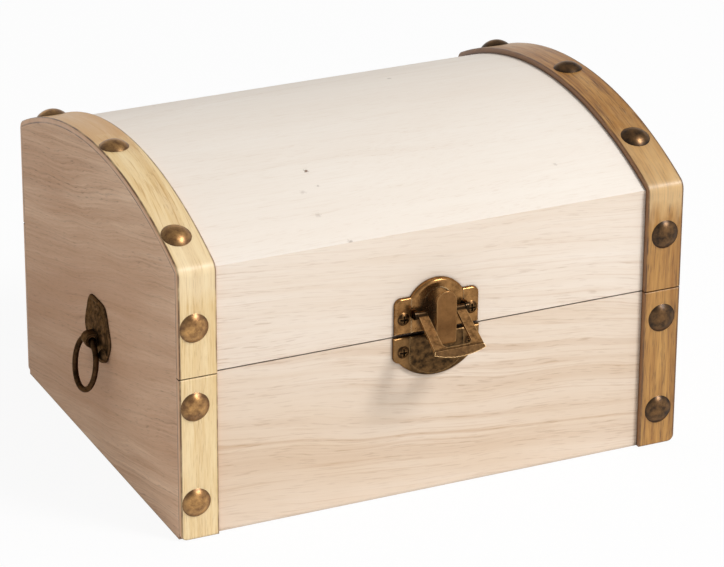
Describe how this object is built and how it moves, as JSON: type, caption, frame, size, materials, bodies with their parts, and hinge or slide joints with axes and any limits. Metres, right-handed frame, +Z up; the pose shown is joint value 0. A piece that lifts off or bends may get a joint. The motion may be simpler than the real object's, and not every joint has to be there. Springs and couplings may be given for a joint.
{
  "type": "domed wooden chest",
  "caption": "Small unfinished wooden keepsake chest with a hinged domed lid, bent strap bands held by dome-headed nails, a hook-and-flap latch in front and a ring pull on each end.",
  "frame": {"origin": "middle of the underside, on the plane the chest stands on", "axes": "+X along the front to the right as seen from the front, +Y from front to back, +Z up"},
  "size_m": [0.2172, 0.179, 0.1263],
  "materials": {
    "panel_wood": "raw sanded paulownia, pale with fine streaks",
    "dome_wood": "raw sanded veneer ply, near white",
    "end_wood": "raw sanded paulownia, browner with broad figure",
    "strap_wood": "golden stained strip",
    "nail_brass": "antiqued, speckled, worn bright on the crowns",
    "latch_brass": "antiqued, dark in the recesses",
    "hinge_brass": "antiqued",
    "screw_black": "blackened",
    "pull_bronze": "dark bronze, worn at the ring's foot"
  },
  "bodies": {
    "base": {"base_front_panel": "panel_wood", "base_back_panel": "panel_wood", "base_floor": "panel_wood", "base_left_end": "end_wood", "base_right_end": "end_wood", "base_strap_front_left": "strap_wood", "base_strap_front_right": "strap_wood", "base_strap_back_left": "strap_wood", "base_strap_back_right": "strap_wood", "base_nails_front_left": "nail_brass", "base_nails_front_right": "nail_brass", "base_nails_back_left": "nail_brass", "base_nails_back_right": "nail_brass", "hinge_left_base_leaf": "hinge_brass", "hinge_right_base_leaf": "hinge_brass", "hinge_left_pin": "hinge_brass", "hinge_right_pin": "hinge_brass", "hinge_base_screws": "screw_black", "latch_base_plate": "latch_brass", "latch_base_screws": "screw_black", "left_pull_plate": "pull_bronze", "left_pull_eye": "pull_bronze", "left_pull_pins": "pull_bronze", "right_pull_plate": "pull_bronze", "right_pull_eye": "pull_bronze", "right_pull_pins": "pull_bronze"},
    "lid": {"lid_front_rail": "panel_wood", "lid_back_rail": "panel_wood", "lid_left_end": "end_wood", "lid_right_end": "end_wood", "lid_top_panel": "dome_wood", "lid_strap_left": "strap_wood", "lid_strap_right": "strap_wood", "lid_nails_left": "nail_brass", "lid_nails_right": "nail_brass", "hinge_left_lid_leaf": "hinge_brass", "hinge_right_lid_leaf": "hinge_brass", "hinge_lid_screws": "screw_black", "latch_lid_plate": "latch_brass", "latch_lid_screws": "screw_black"},
    "latch_flap": {"latch_flap": "latch_brass"},
    "left_ring": {"left_pull_ring": "pull_bronze"},
    "right_ring": {"right_pull_ring": "pull_bronze"}
  },
  "joints": [
    {"name": "lid_hinge", "type": "hinge", "parent": "base", "child": "lid", "pos_m": [0, 0.0788, 0.0633], "axis": [-1, 0, 0], "range_deg": [0, 150]},
    {"name": "latch_flap_swing", "type": "hinge", "parent": "lid", "child": "latch_flap", "pos_m": [0.0005, -0.0807, 0.0725], "axis": [-1, 0, 0], "range_deg": [-60, 100]},
    {"name": "left_ring_swing", "type": "hinge", "parent": "base", "child": "left_ring", "pos_m": [-0.1037, -0.001, 0.0479], "axis": [0, 1, 0], "range_deg": [0, 140]},
    {"name": "right_ring_swing", "type": "hinge", "parent": "base", "child": "right_ring", "pos_m": [0.1037, -0.001, 0.0479], "axis": [0, -1, 0], "range_deg": [0, 140]}
  ]
}
